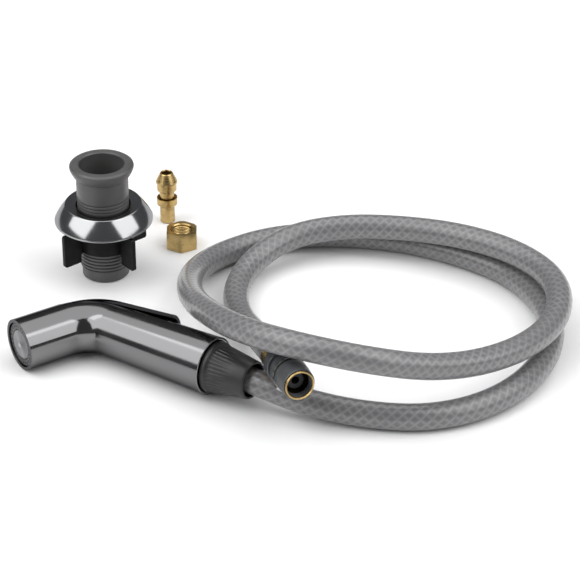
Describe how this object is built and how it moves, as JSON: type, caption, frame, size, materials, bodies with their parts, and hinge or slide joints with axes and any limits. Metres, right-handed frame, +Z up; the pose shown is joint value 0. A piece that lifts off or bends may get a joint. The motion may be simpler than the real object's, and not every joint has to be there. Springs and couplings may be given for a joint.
{
  "type": "side spray kit for a sink",
  "caption": "Chrome hand spray with thumb lever, looped braided hose with swivel coupling, threaded deck holder with cover plate and wing nut, brass insert and nut.",
  "frame": {"origin": "on the axis of the deck holder's tube, at its foot on the surface that every piece lies on", "axes": "+Z up along the holder's axis; +X to the right, towards the hose's turns; +Y away from the side that the spray head lies on"},
  "size_m": [0.2919, 0.2294, 0.0668],
  "materials": {
    "plating": "bright chrome plating",
    "lever_plating": "bright chrome plating on plastic",
    "steel": "plain stainless steel",
    "inner_plastic": "dark moulded plastic",
    "brass": "machined brass, a little dull",
    "rubber": "black rubber",
    "face_grey": "grey satin plastic",
    "disc_grey": "light grey satin plastic",
    "collar_grey": "dark grey satin plastic",
    "hose_vinyl": "translucent grey vinyl over a braid",
    "coupling_grey": "grey satin plastic",
    "tube_grey": "grey satin plastic",
    "nut_black": "black moulded plastic"
  },
  "bodies": {
    "hand_spray": {"spray_body": "plating", "lever_pin": "steel", "valve_housing": "inner_plastic", "valve_spring": "steel", "stem_o_ring": "rubber", "valve_seat": "rubber", "valve_cap": "inner_plastic", "face_ring": "face_grey", "face_disc": "disc_grey", "face_screw": "steel", "face_carrier": "inner_plastic", "face_seal": "rubber", "flow_screen": "steel", "hose_stem": "brass", "stem_washer": "rubber", "guide_bush": "inner_plastic", "snap_ring": "steel", "crimp_ferrule": "brass", "hose": "hose_vinyl", "coupling_core": "inner_plastic", "coupling_body": "coupling_grey", "coupling_clip": "steel", "rear_ring": "coupling_grey", "coupling_stem": "brass", "end_ferrule": "brass"},
    "lever": {"thumb_lever": "lever_plating"},
    "stem": {"valve_stem": "brass"},
    "collar": {"hose_collar": "collar_grey"},
    "coupling_nut": {"coupling_sleeve": "coupling_grey", "thread_insert": "brass", "coupling_washer": "rubber"},
    "holder": {"holder_tube": "tube_grey"},
    "cover_plate": {"escutcheon": "plating", "escutcheon_gasket": "rubber"},
    "washer": {"friction_washer": "inner_plastic"},
    "deck_nut": {"wing_nut": "nut_black"},
    "insert": {"barb_insert": "brass"},
    "sleeve": {"compression_sleeve": "brass"},
    "tap_nut": {"hex_nut": "brass"}
  },
  "joints": [
    {"name": "lever_press", "type": "hinge", "parent": "hand_spray", "child": "lever", "pos_m": [-0.00931, -0.07186, 0.01373], "axis": [0.0131, -0.0088, -0.9999], "range_deg": [0, 7.3], "stiffness_Nm_per_rad": 0.2},
    {"name": "valve_travel", "type": "slide", "parent": "hand_spray", "child": "stem", "axis": [-0.5592, -0.829, 0], "range_m": [0, 0.0033], "deforming": ["valve_spring"]},
    {"name": "collar_turn", "type": "hinge", "parent": "hand_spray", "child": "collar", "pos_m": [0.06212, -0.11926, 0.01508], "axis": [0.8289, -0.5591, 0.0158], "continuous": true},
    {"name": "coupling_spin", "type": "hinge", "parent": "hand_spray", "child": "coupling_nut", "pos_m": [0.1054, -0.164, 0.0326], "axis": [0.3395, -0.9327, 0.1219], "continuous": true},
    {"name": "holder_lift", "type": "slide", "parent": "hand_spray", "child": "holder", "axis": [0, 0, 1], "range_m": [0, 0.06]},
    {"name": "plate_slide", "type": "slide", "parent": "holder", "child": "cover_plate", "axis": [0, 0, 1], "range_m": [0, 0.016]},
    {"name": "nut_travel", "type": "slide", "parent": "holder", "child": "washer", "axis": [0, 0, -1], "range_m": [0, 0.008]},
    {"name": "wing_nut_turn", "type": "hinge", "parent": "washer", "child": "deck_nut", "pos_m": [0, 0, 0.03], "axis": [0, 0, 1], "range_deg": [-1440, 0]},
    {"name": "insert_lift", "type": "slide", "parent": "hand_spray", "child": "insert", "axis": [0, 0, 1], "range_m": [0, 0.06]},
    {"name": "sleeve_slide", "type": "slide", "parent": "insert", "child": "sleeve", "axis": [0, 0, 1], "range_m": [-0.01, 0.0038]},
    {"name": "tap_nut_lift", "type": "slide", "parent": "hand_spray", "child": "tap_nut", "axis": [0, 0, 1], "range_m": [0, 0.06]}
  ],
  "couplings": [
    {"joint": "valve_travel", "follows": "lever_press", "m_per_rad": 0.024931},
    {"joint": "nut_travel", "follows": "wing_nut_turn", "m_per_rad": -0.00031831}
  ]
}
